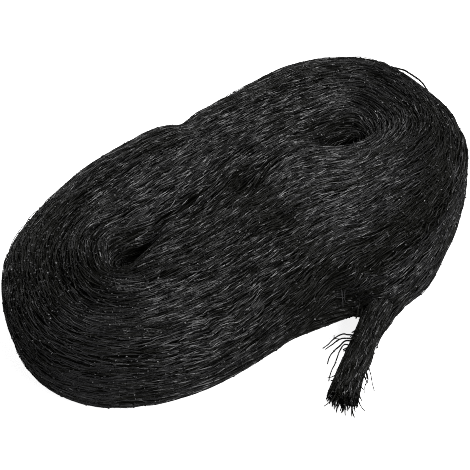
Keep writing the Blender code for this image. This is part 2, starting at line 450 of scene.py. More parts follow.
@dataclass
class TwineMesh:
    """Gathers lengths of twine and knots as arrays, and makes one mesh of them."""

    name: str
    sides: int = 3
    # How long a knot is against its width.
    knot_length: float = 1.35
    corners: list[Array] = field(default_factory=list)
    faces: list[Array] = field(default_factory=list)
    shades: list[Array] = field(default_factory=list)
    rubbed_and_shaded: list[Array] = field(default_factory=list)
    count: int = 0

    def add_corners(self, corners: Array, shades: Array) -> int:
        """Add corners and their shades.

        Args:
            corners: Points, three numbers each.
            shades: One number from 0 to 1 for each corner.

        Returns:
            The index of the first of them.
        """
        first = self.count
        self.corners.append(corners.reshape(-1, 3))
        self.shades.append(shades.reshape(-1))
        self.count += self.corners[-1].shape[0]
        return first

    def add_strands(
        self,
        paths: Array,
        normals: Array,
        radii: Array,
        twists: Array,
        shades: Array,
        rubbed_and_shaded: Array,
    ) -> None:
        """Add tubes of twine that have the same number of points.

        Args:
            paths: Points of each strand, strands by points by 3.
            normals: The outward direction at each point, the same shape.
            radii: The twine's radius at each point, strands by points.
            twists: How far the twine is turned about itself, strands by points.
            shades: How greyed the twine is, 0 to 1, strands by points.
            rubbed_and_shaded: Where the twine takes the dull finish, for rubbing and for
                painted shade, strands by points.
        """
        strands, points = paths.shape[:2]
        ahead = unit(np.gradient(paths, axis=1))
        side = unit(np.cross(normals, ahead))
        up = np.cross(ahead, side)
        angles = FULL_TURN * np.arange(self.sides) / self.sides
        angles = (angles + twists[..., None])[..., None]
        ring = np.cos(angles) * side[:, :, None, :] + np.sin(angles) * up[:, :, None, :]
        corners = paths[:, :, None, :] + radii[:, :, None, None] * ring
        first = self.add_corners(corners, np.repeat(shades, self.sides, axis=1))
        index = first + np.arange(strands * points * self.sides)
        index = index.reshape(strands, points, self.sides)
        beside = np.roll(index, -1, axis=2)
        quads = np.stack((index[:, :-1], beside[:, :-1], beside[:, 1:], index[:, 1:]), axis=-1)
        self.faces.append(quads.reshape(-1, 4))
        self.rubbed_and_shaded.append(np.repeat(rubbed_and_shaded[:, 1:].reshape(-1), self.sides))

    def add_twine(
        self,
        path: Array,
        normals: Array | Place,
        thick: float,
        tip_share: float,
        turn: Array,
        shade: float,
        matt: bool,
    ) -> Array:
        """Add one twine that is the same shade all along, and keep it off the ground.

        Args:
            path: Its points, one row each.
            normals: The outward direction at each point, or one for them all.
            thick: Its radius at the start.
            tip_share: Its radius at the other end, against that at the start.
            turn: How far it is turned about itself at each point.
            shade: How greyed it is, 0 to 1.
            matt: Whether it takes the dull finish, for rubbing and for painted shade.

        Returns:
            Its points, with those lifted that lay less than its radius off the ground.
        """
        path = path.copy()
        path[:, 2] = np.maximum(path[:, 2], thick)
        shape = (1, len(path))
        self.add_strands(
            path[None],
            np.broadcast_to(normals, path.shape)[None],
            thick * np.linspace(1.0, tip_share, len(path))[None],
            turn[None],
            np.full(shape, shade),
            np.full(shape, matt),
        )
        return path

    def add_knots(
        self,
        centres: Array,
        ahead: Array,
        normals: Array,
        radii: Array,
        shades: Array,
        rubbed_and_shaded: Array,
    ) -> None:
        """Add knots, each a small rounded lump a little longer than wide.

        Args:
            centres: The knots' middles, knots by 3.
            ahead: The way the twine runs through each, knots by 3.
            normals: The outward direction at each, knots by 3.
            radii: Each knot's radius.
            shades: One number from 0 to 1 for each knot.
            rubbed_and_shaded: Whether each knot takes the dull finish, for rubbing and for
                painted shade.
        """
        side = unit(np.cross(normals, ahead))
        up = np.cross(ahead, side)
        size = radii[:, None]
        reaches = (self.knot_length * size * ahead, size * side, size * up)
        corners = np.stack(
            [centres + sign * reach for reach in reaches for sign in (1.0, -1.0)], axis=1
        )
        each = corners.shape[1]
        first = self.add_corners(corners, np.repeat(shades[:, None], each, axis=1))
        base = first + each * np.arange(len(centres))
        front = ((0, 2, 4), (0, 4, 3), (0, 3, 5), (0, 5, 2))
        back = ((1, 4, 2), (1, 3, 4), (1, 5, 3), (1, 2, 5))
        pattern = np.array(front + back)
        triangles = base[:, None, None] + pattern[None]
        self.faces.append(triangles.reshape(-1, 3))
        self.rubbed_and_shaded.append(np.repeat(rubbed_and_shaded, len(pattern)))

    def build(self, finish: TwineFinish) -> bpy.types.Object:
        """Make the piece from all that was added, and tie it to the frame.

        Args:
            finish: The finish of its twine.

        Returns:
            The new piece, with the twine's flat filaments left sharp.
        """
        mesh = bpy.data.meshes.new(self.name)
        corners = np.concatenate(self.corners)
        corners[:, 2] = np.maximum(corners[:, 2], 0.0)
        loops = np.concatenate([faces.reshape(-1) for faces in self.faces])
        totals = np.concatenate([np.full(len(faces), faces.shape[1]) for faces in self.faces])
        starts = np.concatenate(([0], np.cumsum(totals)[:-1]))
        mesh.vertices.add(len(corners))
        mesh.vertices.foreach_set("co", corners.astype(np.float32).reshape(-1))
        mesh.loops.add(len(loops))
        mesh.loops.foreach_set("vertex_index", loops.astype(np.int32))
        mesh.polygons.add(len(totals))
        mesh.polygons.foreach_set("loop_start", starts.astype(np.int32))
        mesh.update(calc_edges=True)
        strand = mesh.attributes.new("strand", "FLOAT", "POINT")
        strand.data.foreach_set("value", np.concatenate(self.shades).astype(np.float32))
        mesh.materials.append(finish.plain)
        mesh.materials.append(finish.rubbed_and_shaded)
        slots = np.concatenate(self.rubbed_and_shaded).astype(np.int32)
        mesh.polygons.foreach_set("material_index", slots)
        mesh.shade_flat()
        return add_piece(self.name, mesh)


def add_piece(name: str, mesh: bpy.types.Mesh) -> bpy.types.Object:
    """Put a mesh in the scene as a piece of the part.

    Args:
        name: The piece's name.
        mesh: Its mesh.

    Returns:
        The piece, which rides on the part's body.
    """
    piece = bpy.data.objects.new(name, mesh)
    bpy.context.scene.collection.objects.link(piece)
    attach(piece, BODY)
    mesh.calc_loop_triangles()
    LOG.info("%s: %d triangles", name, len(mesh.loop_triangles))
    return piece


class WoundForm:
    """The hank's surface, smoothed, as the shape that the twine is laid on."""

    weld_mm = 0.02
    soften_share = 0.5
    soften_rounds = 3
    # Keeps a corner from taking all the weight where a place lies right on it.
    corner_reach_mm = 0.1

    def __init__(self, node: bpy.types.Object) -> None:
        """Smooth the CAD solid's mesh and make it ready for finding places on it.

        Args:
            node: The CAD node of the hank.
        """
        smooth = bpy.data.objects.new("smoothed_hank", node.data.copy())
        bpy.context.scene.collection.objects.link(smooth)
        weld = smooth.modifiers.new("weld", "WELD")
        weld.merge_threshold = self.weld_mm * MM
        soften = smooth.modifiers.new("soften", "SMOOTH")
        soften.factor = self.soften_share
        soften.iterations = self.soften_rounds
        rounded = smooth.modifiers.new("rounded", "SUBSURF")
        rounded.levels = 1
        rounded.render_levels = 1
        graph = bpy.context.evaluated_depsgraph_get()
        self.mesh = bpy.data.meshes.new_from_object(smooth.evaluated_get(graph))
        bpy.data.objects.remove(smooth, do_unlink=True)
        self.mesh.calc_loop_triangles()
        self.places = self.read("co")
        self.normals = self.read("normal")
        triangles = np.empty(len(self.mesh.loop_triangles) * 3, np.int32)
        self.mesh.loop_triangles.foreach_get("vertices", triangles)
        self.triangles = triangles.reshape(-1, 3)
        self.tree = BVHTree.FromPolygons(self.places.tolist(), self.triangles.tolist())

    def read(self, what: str) -> Array:
        """Read one vector of each corner of the mesh.

        Args:
            what: The vector's name in the mesh.

        Returns:
            The vectors, one row each.
        """
        values = np.empty(len(self.mesh.vertices) * 3, np.float32)
        self.mesh.vertices.foreach_get(what, values)
        return values.reshape(-1, 3).astype(float)

    def project(self, points: Array) -> tuple[Array, Array]:
        """Find the nearest places on the surface.

        Args:
            points: Points, in an array whose last axis is 3 long.

        Returns:
            The nearest places and the smooth outward normals there.
        """
        found = [self.tree.find_nearest(point) for point in points.reshape(-1, 3).tolist()]
        places = np.array([place for place, _, _, _ in found])
        corners = self.triangles[[face for _, _, face, _ in found]]
        away = np.linalg.norm(self.places[corners] - places[:, None], axis=2)
        weights = 1.0 / (self.corner_reach_mm * MM + away)
        normals = (weights[..., None] * self.normals[corners]).sum(axis=1)
        return places.reshape(points.shape), unit(normals).reshape(points.shape)

    def scatter(self, count: int, rng: Random) -> Array:
        """Pick places on the surface at random, evenly by area.

        Args:
            count: How many.
            rng: The source of chance.

        Returns:
            The places, count by 3.
        """
        corners = self.places[self.triangles]
        crossed = np.cross(corners[:, 1] - corners[:, 0], corners[:, 2] - corners[:, 0])
        area = np.linalg.norm(crossed, axis=1)
        picked = rng.choice(len(area), size=count, p=area / area.sum())
        shares = rng.random((count, 2))
        over = shares.sum(axis=1) > 1.0
        shares[over] = 1.0 - shares[over]
        first = corners[picked, 0]
        return (
            first
            + shares[:, :1] * (corners[picked, 1] - first)
            + shares[:, 1:] * (corners[picked, 2] - first)
        )


# The tables of patches give x, y, reach and amount.
# Where the turns cross and lean out of the rings, and by how many degrees.
LEANS: tuple[Patch, ...] = (
    (0.000, 0.020, 0.050, 7.0),
    (0.000, 0.110, 0.035, -16.0),
    (-0.040, -0.045, 0.045, 8.0),
    (0.002, -0.010, 0.018, 10.0),
    (-0.003, -0.040, 0.018, -8.0),
    (-0.002, -0.070, 0.018, -6.0),
    (-0.010, -0.110, 0.040, 15.0),
    (0.012, 0.014, 0.012, -15.0),
    (0.070, 0.000, 0.015, -12.0),
    (0.068, -0.045, 0.030, -22.0),
    (0.089, -0.017, 0.020, -12.0),
    (0.110, -0.045, 0.016, 15.0),
    (0.125, -0.080, 0.034, -18.0),
    (0.083, -0.113, 0.018, -18.0),
    (0.040, -0.105, 0.018, -12.0),
    (0.165, -0.045, 0.028, -12.0),
    (-0.075, -0.105, 0.022, 20.0),
    (0.018, -0.137, 0.014, 38.0),
    (0.058, -0.154, 0.020, 10.0),
    (-0.125, -0.030, 0.014, -12.0),
    (-0.122, 0.000, 0.014, -18.0),
)
# Hollows between the great bundles, and how many mm deep they are.
HOLLOWS: tuple[Patch, ...] = (
    (0.001, -0.006, 0.012, 3.0),
    (-0.003, -0.030, 0.009, 2.5),
    (-0.003, -0.055, 0.008, 2.5),
    (-0.001, -0.083, 0.008, 1.5),
    (-0.108, 0.007, 0.016, 2.0),
    (-0.085, 0.000, 0.010, 0.8),
    (-0.066, -0.008, 0.009, 2.0),
    (-0.045, -0.008, 0.009, 2.0),
    (0.118, 0.008, 0.016, 2.5),
    (0.050, -0.122, 0.010, 2.5),
    (0.072, -0.121, 0.011, 2.8),
    (0.092, -0.118, 0.011, 3.0),
    (0.112, -0.114, 0.011, 3.0),
    (0.132, -0.108, 0.010, 2.8),
    (0.150, -0.100, 0.009, 2.0),
    (0.036, -0.003, 0.006, 2.5),
    (0.057, -0.027, 0.006, 2.5),
)
# Where the twine is painted greyer, and how much: painted light where light falls, such as the
# floor's bounce light at the foot and the light on the dimple's far wall, and lighter patches
# on the top and the wall.
PAINTED_LIGHT_GREYS: tuple[Patch, ...] = (
    (0.065, -0.055, 0.040, 1.0),
    (0.030, -0.090, 0.026, 1.2),
    (0.080, -0.085, 0.022, 0.7),
    (0.105, -0.060, 0.030, 0.5),
    (0.155, 0.030, 0.030, 0.2),
    (0.170, -0.110, 0.025, 0.9),
    (0.120, -0.142, 0.030, 1.0),
    (0.065, -0.158, 0.030, 0.8),
    (-0.060, 0.045, 0.040, 0.3),
    (-0.080, 0.010, 0.014, 0.9),
    (-0.094, 0.010, 0.012, 0.9),
    (0.036, -0.098, 0.020, 0.8),
    (0.113, -0.090, 0.010, 0.8),
    (0.050, -0.100, 0.014, 0.7),
    (0.030, -0.108, 0.012, 0.7),
    (0.085, -0.098, 0.012, 0.6),
    (0.011, -0.051, 0.010, 0.5),
    (-0.150, -0.108, 0.018, 0.6),
    (-0.235, -0.040, 0.028, 1.2),
    (-0.215, -0.075, 0.035, 1.0),
    (-0.120, -0.075, 0.040, 0.3),
)
# Where the twine takes the dull, olive finish as painted shade, on the troughs, the valley,
# the crossings and the ends, and what share of it.
PAINTED_SHADE_RUBS: tuple[Patch, ...] = (
    (0.001, -0.006, 0.022, 0.7),
    (-0.003, -0.035, 0.018, 0.6),
    (-0.003, -0.062, 0.018, 0.6),
    (-0.004, -0.090, 0.014, 0.6),
    (0.002, -0.124, 0.022, 0.7),
    (0.040, -0.125, 0.016, 0.6),
    (0.070, -0.118, 0.013, 0.9),
    (0.102, -0.112, 0.014, 1.0),
    (0.133, -0.102, 0.014, 1.0),
    (0.158, -0.088, 0.014, 0.9),
    (0.182, -0.068, 0.020, 0.6),
    (0.198, -0.030, 0.024, 0.6),
    (0.050, -0.124, 0.010, 0.6),
    (0.088, -0.118, 0.010, 0.6),
    (0.122, -0.109, 0.010, 0.6),
    (0.145, -0.102, 0.010, 0.5),
    (-0.023, -0.118, 0.014, 0.5),
    (-0.095, -0.104, 0.016, 0.3),
    (-0.040, 0.085, 0.022, 0.45),
    (-0.010, 0.092, 0.018, 0.4),
    (-0.080, 0.086, 0.018, 0.4),
    (0.067, -0.064, 0.014, 0.4),
    (0.110, -0.046, 0.016, 0.3),
    (0.118, 0.006, 0.016, 0.8),
    (-0.112, 0.004, 0.014, 0.7),
    (0.077, 0.028, 0.016, 0.6),
    (-0.120, 0.060, 0.018, 0.6),
    (0.136, -0.053, 0.014, 0.5),
    (-0.062, -0.009, 0.012, 0.6),
    (-0.038, -0.008, 0.012, 0.6),
    (-0.150, -0.006, 0.016, 0.6),
    (-0.125, -0.020, 0.012, 0.5),
    (-0.040, -0.118, 0.020, 0.4),
    (-0.200, 0.000, 0.034, 0.8),
    (-0.178, 0.035, 0.030, 0.8),
    (-0.150, 0.060, 0.030, 0.5),
    (0.110, 0.095, 0.024, 0.5),
    (0.155, 0.078, 0.026, 0.6),
    (0.060, 0.100, 0.020, 0.4),
    (-0.060, -0.055, 0.050, 0.35),
    (-0.180, -0.090, 0.030, 0.2),
)
# Where knots bunch up at the ends, and what share of the candidates is kept.
BUNCHES: tuple[Patch, ...] = (
    (-0.205, 0.010, 0.060, 0.80),
    (-0.140, 0.055, 0.050, 0.60),
    (-0.130, -0.050, 0.045, 0.35),
    (-0.190, -0.085, 0.035, 0.50),
    (0.190, -0.020, 0.045, 0.60),
    (0.150, 0.070, 0.045, 0.45),
    (0.140, -0.090, 0.028, 0.70),
    (0.090, -0.112, 0.018, 0.70),
)


def patched(rows: tuple[Patch, ...], points: Array) -> Array:
    """Add up patches that fade out round their middles.

    Args:
        rows: The patches.
        points: Places, in an array whose last axis is 3 long.

    Returns:
        The sum of the patches' amounts at each place.
    """
    total = np.zeros(points.shape[:-1])
    for x, y, reach, amount in rows:
        away = np.hypot(points[..., 0] - x, points[..., 1] - y) / reach
        total += amount * np.exp(-away * away)
    return total


@dataclass
class TurnField:
    """Which way the turns run at any place on the hank.

    On the top and the underside they run in rings between the slit of the inner
    turns and the outline. On the wall they run level. Between, they ease over.
    """

    form: WoundForm
    cell: float = 2.0 * MM
    margin: float = 0.01
    slit_half: float = 0.124
    slit_sway: float = 0.004
    slit_points: int = 120
    sectors: int = 240
    sector_points: int = 8
    steepest: float = 20.0
    soften_rounds: int = 3
    flat_from: float = 0.35
    flat_whole: float = 0.8
    bundle_width: float = 0.009
    bundle_rows: int = 64
    bundle_cells: int = 22
    bundle_relief_mm: float = 0.8
    bundle_seed: int = 5
    groove_mm: float = 1.3
    groove_share: float = 0.10
    # How wide the bundles between two grooves are, against bundle_width.
    groove_spacing: float = 1.8
    # Heights at which the relief sets in and is whole.
    relief_from: float = 0.010
    relief_whole: float = 0.030
    top_height: float = 0.09

    def __post_init__(self) -> None:
        """Work out the ring direction on a grid in plan."""
        low = self.form.places.min(axis=0)[:2] - self.margin
        high = self.form.places.max(axis=0)[:2] + self.margin
        self.low = low
        columns, rows = (np.ceil((high - low) / self.cell).astype(int) + 1).tolist()
        across, along = np.meshgrid(
            low[0] + self.cell * np.arange(columns),
            low[1] + self.cell * np.arange(rows),
            indexing="ij",
        )
        grid = np.stack((across, along), axis=-1)
        share = np.linspace(-1.0, 1.0, self.slit_points)
        slit = np.stack(
            (self.slit_half * share, self.slit_sway * np.sin(np.pi * share)), axis=-1
        )
        to_slit = self.nearest(grid, slit)
        to_outline = self.nearest(grid, self.outer_turn())
        rings = to_slit / (to_slit + to_outline + 1e-6)
        slope_x, slope_y = np.gradient(rings, self.cell)
        heading = np.arctan2(slope_x, -slope_y)
        doubled = np.stack((np.cos(2.0 * heading), np.sin(2.0 * heading)), axis=-1)
        strength = np.hypot(slope_x, slope_y)[..., None]
        self.doubled = self.soften(doubled * np.minimum(strength, self.steepest))
        self.to_slit = to_slit
        rng = np.random.default_rng(self.bundle_seed)
        self.lattice = rng.random((2, self.bundle_rows, self.bundle_cells))

    def outer_turn(self) -> Array:
        """Give the way of an outer turn in plan, drawn taut round the hank's waist.

        Returns:
            Points in plan along it, one row each.
        """
        places = self.form.places[:, :2]
        angles = FULL_TURN * np.arange(self.sectors) / self.sectors
        ways = np.stack((np.cos(angles), np.sin(angles)), axis=-1)
        corners = places[np.argmax(places @ ways.T, axis=0)]
        share = np.linspace(0.0, 1.0, self.sector_points, endpoint=False)
        way = np.roll(corners, -1, axis=0) - corners
        filled = corners + share[:, None, None] * way
        to_millimetre = 3
        return np.unique(np.round(filled.reshape(-1, 2), to_millimetre), axis=0)

    @staticmethod
    def nearest(grid: Array, points: Array) -> Array:
        """Measure from each place of a grid to the nearest of some points.

        Args:
            grid: The places in plan, columns by rows by 2.
            points: The points in plan, one row each.

        Returns:
            The distances, columns by rows.
        """
        best = np.full(grid.shape[:2], np.inf)
        for point in points:
            best = np.minimum(best, np.hypot(*np.moveaxis(grid - point, -1, 0)))
        return best

    def soften(self, values: Array) -> Array:
        """Even out a grid by taking in each place's neighbours, some rounds over.

        Args:
            values: The grid, columns by rows by the numbers at each place.

        Returns:
            The softer grid.
        """
        for _ in range(self.soften_rounds):
            padded = np.pad(values, ((1, 1), (1, 1), (0, 0)), mode="edge")
            values = (
                padded[1:-1, 1:-1] * 2.0
                + padded[:-2, 1:-1]
                + padded[2:, 1:-1]
                + padded[1:-1, :-2]
                + padded[1:-1, 2:]
            ) / 6.0
        return values

    def sample(self, grid: Array, points: Array) -> Array:
        """Read a grid at places in plan, between its own points.

        Args:
            grid: One number or one row of numbers for each of its places.
            points: Where to read it, one row each.

        Returns:
            The number or the row of numbers at each point.
        """
        place = (points[:, :2] - self.low) / self.cell
        place = np.clip(place, 0.0, np.array(grid.shape[:2]) - IN_LAST_CELL)
        index = np.floor(place).astype(int)
        part = place - index
        x, y = index[:, 0], index[:, 1]
        if grid.ndim == 3:
            part = part[..., None]
        near = grid[x, y] * (1 - part[:, 0]) + grid[x + 1, y] * part[:, 0]
        far = grid[x, y + 1] * (1 - part[:, 0]) + grid[x + 1, y + 1] * part[:, 0]
        return near * (1 - part[:, 1]) + far * part[:, 1]

    def heading(self, points: Array, normals: Array) -> Array:
        """Give the way the turns run at places on the surface.

        Args:
            points: The places, one row each.
            normals: The outward normals there.

        Returns:
            Unit vectors along the surface, one row each.
        """
        doubled = self.sample(self.doubled, points)
        angle = 0.5 * np.arctan2(doubled[:, 1], doubled[:, 0])
        ring = np.stack((np.cos(angle), np.sin(angle), np.zeros_like(angle)), axis=-1)
        ring = unit(ring - (ring * normals).sum(axis=1, keepdims=True) * normals)
        level = unit(np.cross(normals, UP))
        same = np.sign((ring * level).sum(axis=1, keepdims=True))
        flat = ease(np.abs(normals[:, 2]), self.flat_from, self.flat_whole)[:, None]
        way = unit(flat * ring + (1.0 - flat) * np.where(same == 0, 1.0, same) * level)
        lean = np.radians(patched(LEANS, points))
        return turned(way, normals, np.where(normals[:, 2] > 0.0, lean, 0.0))

    def across(self, points: Array) -> Array:
        """Give how many turns out from the slit each place is, as a distance."""
        return self.sample(self.to_slit, points) + (self.top_height - points[:, 2])

    def bundles(self, points: Array, which: int, width: float) -> Array:
        """Give numbers that change fast across the turns and slowly along them.

        Args:
            points: Places on the surface, one row each.
            which: Which of the two tables of chance to read.
            width: How far apart across the turns the table's rows lie.

        Returns:
            A number from 0 to 1 for each place.
        """
        lattice = self.lattice[which]
        rows, columns = lattice.shape
        row = self.across(points) / width
        column = np.arctan2(points[:, 1], points[:, 0]) / FULL_TURN * columns
        low_row, low_column = np.floor(row).astype(int), np.floor(column).astype(int)
        part_row = ease(row - low_row, 0.0, 1.0)
        part_column = ease(column - low_column, 0.0, 1.0)
        total = np.zeros(len(points))
        for step_row, share_row in ((0, 1.0 - part_row), (1, part_row)):
            for step_column, share_column in ((0, 1.0 - part_column), (1, part_column)):
                picked = lattice[
                    (low_row + step_row) % rows, (low_column + step_column) % columns
                ]
                total += share_row * share_column * picked
        return total

    def relief(self, points: Array) -> Array:
        """Give how much higher or lower than the form the turns lie.

        Args:
            points: Places on the surface, in an array whose last axis is 3 long.

        Returns:
            Heights in metres, less than nothing where the turns lie deep.
        """
        flat = points.reshape(-1, 3)
        bundle = self.bundles(flat, 0, self.bundle_width) - 0.5
        height = 2.0 * self.bundle_relief_mm * bundle
        groove = self.bundles(flat, 1, self.groove_spacing * self.bundle_width)
        height -= self.groove_mm * (1.0 - ease(np.abs(groove - 0.5), 0.0, self.groove_share))
        shown = ease(flat[:, 2], self.relief_from, self.relief_whole)
        height = (height - patched(HOLLOWS, flat)) * shown
        return (height * MM).reshape(points.shape[:-1])


class Side(Enum):
    """Which part of the hank a layer covers."""

    SHOWN = "top and wall"
    UNDER = "underside"


@dataclass(frozen=True)
class Layer:
    """One layer of net ribbons over the hank."""

    name: str
    seed: int
    metres: float
    height_mm: tuple[float, float]
    strands: tuple[int, int] = (4, 8)
    spacing_mm: tuple[float, float] = (1.1, 1.7)
    length_mm: tuple[float, float] = (160, 340)
    lean_deg: float = 3.0
    knot_share: float = 0.3
    thick: float = 1.0
    side: Side = Side.SHOWN


@dataclass
class NetLaying:
    """Lays ribbons of net along the turns.

    In a gathered net the meshes are drawn out long: neighbouring twines zigzag
    between shared knots, nearly side by side.
    """

    form: WoundForm
    turns: TurnField
    bar_mm: float = 15.0
    steps_in_bar: int = 3
    twine_mm: float = 0.64
    # How much each twine's thickness varies.
    thickness: tuple[float, float] = (0.85, 1.15)
    # A tube of three sides looks thinner than a round one.
    corner_share: float = 1.1
    zigzag: float = 0.45
    # How much sharper than a wave the zigzag turns at the knots.
    zigzag_sharpness: float = 0.12
    jitter_mm: float = 0.25
    wander_mm: float = 0.4
    wander_steps: int = 5
    # Bends past those that the steps call for, so that no walk runs out of them.
    wander_spare: int = 3
    strand_height_mm: float = 0.4
    height_wander_mm: float = 0.3
    twist_mm: tuple[float, float] = (50.0, 170.0)
    twist_wander: float = 0.2
    end_sink_mm: float = 4.5
    end_sink_steps: float = 6.0
    foot_slope: float = 0.03
    strand_share: float = 0.25
    ribbon_share: float = 0.4
    ribbon_wear: float = 0.6
    wear_steps: int = 4
    knot_mm: float = 1.8
    knot_size: tuple[float, float] = (0.8, 1.15)
    knot_lift_mm: float = 0.2
    knot_tumble: float = 0.55
    knot_wear: float = 0.3
    knot_seed: int = 21
    batch: int = 4
    choices: int = 4
    candidates: int = 60
    # Twice as many places are scattered, because some lie on the wrong side.
    spare_candidates: int = 2
    underside_mm: float = 4.0
    tie_break: float = 0.01
    voxel_mm: float = 3.0
    covered: Counter[tuple[int, int, int]] = field(default_factory=Counter)

    def __post_init__(self) -> None:
        """Make the source of chance for how the knots are turned."""
        self.knot_chance = np.random.default_rng(self.knot_seed)

    def walk(self, starts: Array, steps: int, lean: Array, step: float) -> tuple[Array, Array]:
        """Walk both ways along the turns from some starts.

        Args:
            starts: Where the walks start, on the surface, one row each.
            steps: Steps each way.
            lean: How far each walk keeps leaning out of the rings, in radians.
            step: The length of a step.

        Returns:
            The walks' points and normals, walks by points by 3.
        """
        halves = []
        first, first_normals = self.form.project(starts)
        way_out = turned(self.turns.heading(first, first_normals), first_normals, lean)
        for sign in (1.0, -1.0):
            points, normals, way = first, first_normals, sign * way_out
            half = [(points, normals)]
            for _ in range(steps):
                points, normals = self.form.project(points + step * way)
                heading = turned(self.turns.heading(points, normals), normals, lean)
                same = np.sign((heading * way).sum(axis=1, keepdims=True))
                way = np.where(same == 0, 1.0, same) * heading
                half.append((points, normals))
            halves.append(half)
        joined = list(reversed(halves[1][1:])) + halves[0]
        places, normals = zip(*joined)
        return np.stack(places, axis=1), np.stack(normals, axis=1)

    def choose_starts(self, layer: Layer, count: int, rng: Random) -> Array:
        """Pick starts where the netting is still thin.

        Args:
            layer: The layer being laid.
            count: How many starts.
            rng: The source of chance.

        Returns:
            The starts, count by 3.
        """
        wanted = count * self.candidates
        places = self.form.scatter(wanted * self.spare_candidates, rng)
        under = places[:, 2] < self.underside_mm * MM
        right_side = under if layer.side is Side.UNDER else ~under
        places = places[right_side][:wanted]
        filled = self.filled(places)
        order = np.argsort(filled + self.tie_break * rng.random(len(filled)))
        return places[order[:count]]

    def filled(self, places: Array) -> Array:
        """Tell how thickly the netting lies at some places.

        Args:
            places: The places, one row each.

        Returns:
            A count of steps of twine near each place.
        """
        keys = np.floor(places / (self.voxel_mm * MM)).astype(int).tolist()
        return np.array([self.covered[tuple(key)] for key in keys])

    def boxes(self, strands: Array) -> Counter[tuple[int, int, int]]:
        """Count the steps that some strands take in or next to each small box.

        Args:
            strands: Places along the strands, in an array whose last axis is 3 long.

        Returns:
            The steps, by the box's number each way.
        """
        keys = np.floor(strands.reshape(-1, 1, 3) / (self.voxel_mm * MM)).astype(int)
        span = (-1, 0, 1)
        near = np.stack(np.meshgrid(span, span, span), axis=-1).reshape(-1, 3)
        return Counter(map(tuple, (keys + near).reshape(-1, 3).tolist()))

    def lay(self, layer: Layer, mesh: TwineMesh) -> float:
        """Lay one layer into a mesh.

        Args:
            layer: What to lay.
            mesh: The mesh that gets the twine.

        Returns:
            The metres of twine laid.
        """
        rng = np.random.default_rng(layer.seed)
        laid = 0.0
        stride = self.bar_mm * MM / self.steps_in_bar
        while laid < layer.metres:
            starts = self.choose_starts(layer, self.batch * self.choices, rng)
            length = rng.uniform(*layer.length_mm) * MM
            steps = int(0.5 * length / stride)
            lean = np.radians(layer.lean_deg) * rng.standard_normal(len(starts))
            lines, normals = self.walk(starts, steps, lean, stride)
            thin = np.argsort([self.filled(line).mean() for line in lines])[: self.batch]
            for line, up in zip(lines[thin], normals[thin]):
                strands = self.add_ribbon(layer, mesh, line, up, rng)
                laid += strands[..., 0].size * stride
                self.covered.update(self.boxes(strands))
        return laid

    def add_ribbon(
        self,
        layer: Layer,
        mesh: TwineMesh,
        line: Array,
        up: Array,
        rng: Random,
    ) -> Array:
        """Add one ribbon of net along a line on the surface.

        Args:
            layer: The layer that the ribbon belongs to.
            mesh: The mesh that gets the twine.
            line: The ribbon's middle line, points by 3.
            up: The normals along it.
            rng: The source of chance.

        Returns:
            The places on the surface under the strands, strands by points by 3.
        """
        strands = int(rng.integers(layer.strands[0], layer.strands[1] + 1))
        spacing = rng.uniform(*layer.spacing_mm) * MM
        points = len(line)
        side = unit(np.cross(up, unit(np.gradient(line, axis=0))))
        phase = int(rng.integers(0, 2 * self.steps_in_bar))
        rank = np.arange(strands)
        step = np.arange(points) + phase
        middle = (rank - 0.5 * (strands - 1))[:, None] * spacing
        turn = np.pi * (step[None] / self.steps_in_bar + rank[:, None])
        swing = np.cos(turn) + self.zigzag_sharpness * np.cos(3.0 * turn)
        wander = self.wander(rng, strands, points, self.wander_mm)
        jitter = rng.normal(0.0, self.jitter_mm, (strands, points))
        away = middle + (self.zigzag * spacing * swing + (wander + jitter) * MM)
        places = line[None] + away[..., None] * side[None]
        under, normals = self.form.project(places)
        places = under + self.heights(layer, under, rng)[..., None] * normals
        thick = 0.5 * self.twine_mm * layer.thick * MM
        thick = thick * rng.uniform(*self.thickness, (strands, 1))
        places[..., 2] = np.maximum(places[..., 2], thick)
        radii = np.broadcast_to(self.corner_share * thick, (strands, points))
        shades = self.strand_share * rng.random((strands, 1))
        # Random grey for each strand and ribbon, plus painted light from the patches of
        # lighter twine.
        shades = shades + self.ribbon_share * rng.random() + patched(PAINTED_LIGHT_GREYS, under)
        twists = self.twist(rng, strands, points)
        rubbed_and_shaded = self.wear_and_painted_shade(under, rng)
        mesh.add_strands(places, normals, radii, twists, shades, rubbed_and_shaded)
        self.add_ribbon_knots(layer, mesh, places, normals, step, rubbed_and_shaded, rng)
        return under

    def heights(self, layer: Layer, under: Array, rng: Random) -> Array:
        """Choose how high over the form a ribbon's strands lie, with their ends sunk in.

        Args:
            layer: The layer that the ribbon belongs to.
            under: The places on the surface under them, strands by points by 3.
            rng: The source of chance.

        Returns:
            Heights in metres, strands by points.
        """
        strands, points = under.shape[:2]
        from_end = np.minimum(np.arange(points), points - 1 - np.arange(points))
        sink = self.end_sink_mm * (1.0 - ease(from_end, 0.0, self.end_sink_steps))
        height = rng.uniform(*layer.height_mm) - sink[None]
        height = height + rng.normal(0.0, self.strand_height_mm, (strands, 1))
        height = height + self.wander(rng, strands, points, self.height_wander_mm)
        height = height * MM + self.turns.relief(under)
        return np.minimum(height, self.foot_slope * under[..., 2])

    def wear_and_painted_shade(self, under: Array, rng: Random) -> Array:
        """Choose where a ribbon's strands take the dull finish: at random for rubbing, and in
        the painted shade patches.

        Args:
            under: The places on the surface under them, strands by points by 3.
            rng: The source of chance.

        Returns:
            Whether each point takes the dull finish, strands by points.
        """
        strands, points = under.shape[:2]
        stretch = self.wear_steps
        chance = rng.random((strands, points // stretch + 1)).repeat(stretch, axis=1)
        worn = self.ribbon_wear * rng.random() ** 2
        return chance[:, :points] < patched(PAINTED_SHADE_RUBS, under) + worn

